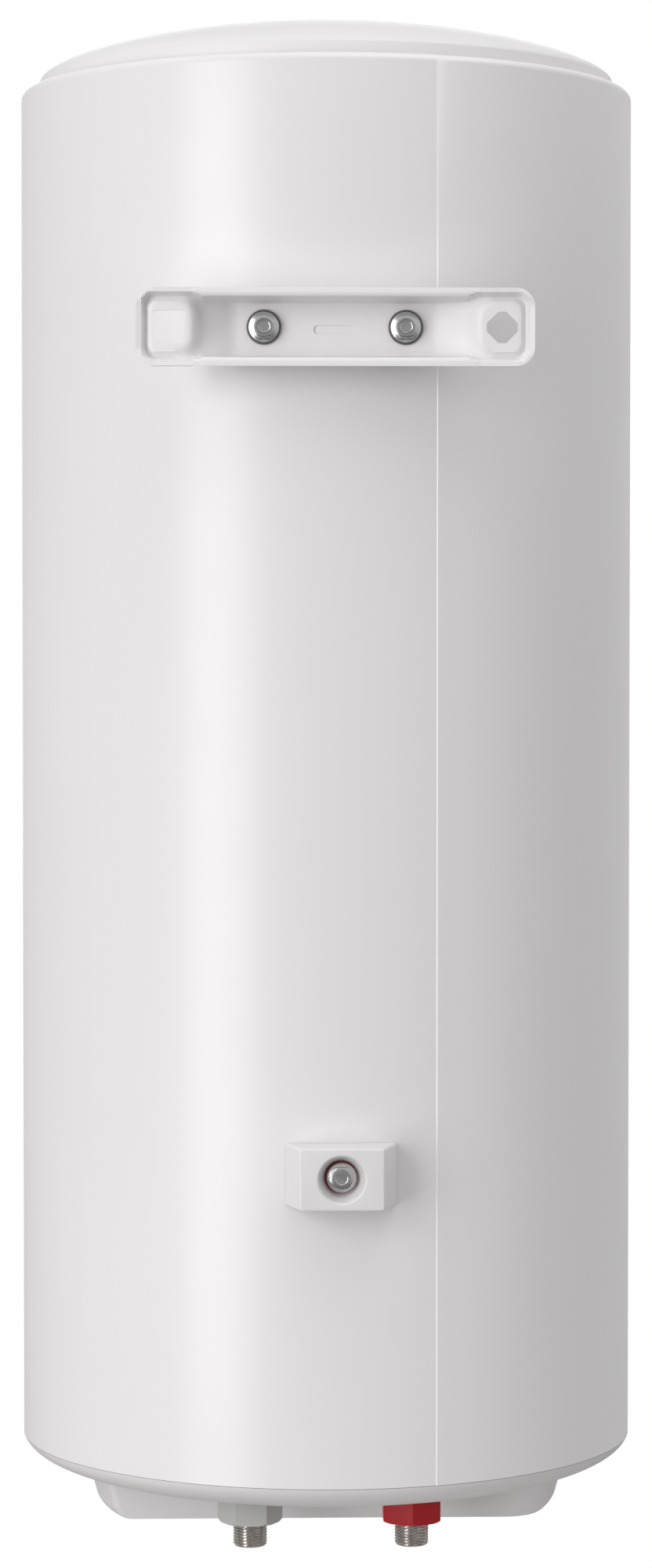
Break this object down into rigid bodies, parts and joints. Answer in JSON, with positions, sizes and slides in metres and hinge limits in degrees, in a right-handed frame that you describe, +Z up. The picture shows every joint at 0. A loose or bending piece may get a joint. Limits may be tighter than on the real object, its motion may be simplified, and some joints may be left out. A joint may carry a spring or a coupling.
{
  "type": "tank water heater",
  "caption": "Wall-hung upright electric storage water heater: round white jacket, domed cap, hanging bracket, spacer block, water pipes and lower cover with a dial.",
  "frame": {"origin": "midway between the two hanging holes, on the wall plane that the bracket's rim and the spacer block's face touch", "axes": "+Z up along the tank, +Y from the wall into the room, +X to the right as seen from the wall side"},
  "size_m": [0.39, 0.415, 0.9544],
  "materials": {
    "white_enamel": "gloss",
    "white_plastic": "satin",
    "pu_foam": "matte",
    "tank_enamel": "satin",
    "zinc_steel": "satin",
    "dark_zinc": "satin",
    "stainless": "satin",
    "copper_sheath": "satin",
    "magnesium": "matte",
    "black_rubber": "matte",
    "ceramic": "matte",
    "amber_lens": "gloss",
    "grey_plastic": "satin",
    "red_plastic": "satin",
    "red_fibre": "matte",
    "black_plastic": "satin",
    "wire_brown": "satin",
    "wire_blue": "satin",
    "wire_green": "satin",
    "wire_white": "satin"
  },
  "bodies": {
    "root": {"anode_nut": "zinc_steel", "anode_rod": "magnesium", "bottom_cap": "white_plastic", "bracket_bolt_left": "zinc_steel", "bracket_bolt_right": "zinc_steel", "bracket_boss_left": "tank_enamel", "bracket_boss_right": "tank_enamel", "bracket_washer_left": "dark_zinc", "bracket_washer_right": "dark_zinc", "cold_diffuser": "white_plastic", "cold_nipple": "stainless", "cold_sleeve": "grey_plastic", "control_cover": "white_plastic", "cord_gland": "black_plastic", "cover_screw_1": "zinc_steel", "cover_screw_2": "zinc_steel", "cover_screw_3": "zinc_steel", "earth_screw": "zinc_steel", "earth_wire": "wire_green", "element_terminal_left": "ceramic", "element_terminal_right": "ceramic", "flange_bolt_1": "zinc_steel", "flange_bolt_2": "zinc_steel", "flange_bolt_3": "zinc_steel", "flange_bolt_4": "zinc_steel", "flange_bolt_5": "zinc_steel", "flange_collar": "tank_enamel", "flange_gasket": "black_rubber", "flange_plate": "zinc_steel", "foam_insulation": "pu_foam", "gland_nut": "black_plastic", "heating_element": "copper_sheath", "hot_nipple": "stainless", "hot_sleeve": "red_plastic", "hot_standpipe": "stainless", "jacket": "white_enamel", "lamp_holder": "ceramic", "lamp_lead": "wire_white", "lamp_lens": "amber_lens", "link_wire": "wire_brown", "live_wire": "wire_brown", "lower_spacer": "white_plastic", "neutral_wire": "wire_blue", "spacer_bolt": "zinc_steel", "spacer_boss": "tank_enamel", "spacer_fibre_washer": "red_fibre", "tank_shell": "tank_enamel", "terminal_block": "white_plastic", "thermostat_body": "black_plastic", "thermostat_pocket": "stainless", "top_cap": "white_plastic", "wall_bracket": "white_enamel"},
    "knob": {"control_knob": "white_plastic", "thermostat_spindle": "stainless"},
    "reset": {"reset_button": "red_plastic"}
  },
  "joints": [
    {"name": "knob_turn", "type": "hinge", "parent": "root", "child": "knob", "pos_m": [0, 0.244, -0.7385], "axis": [0, 0, 1], "range_deg": [0, 270]},
    {"name": "reset_press", "type": "slide", "parent": "root", "child": "reset", "axis": [0, 0, 1], "range_m": [0, 0.002], "stiffness_N_per_m": 400, "springref_m": -0.002}
  ]
}
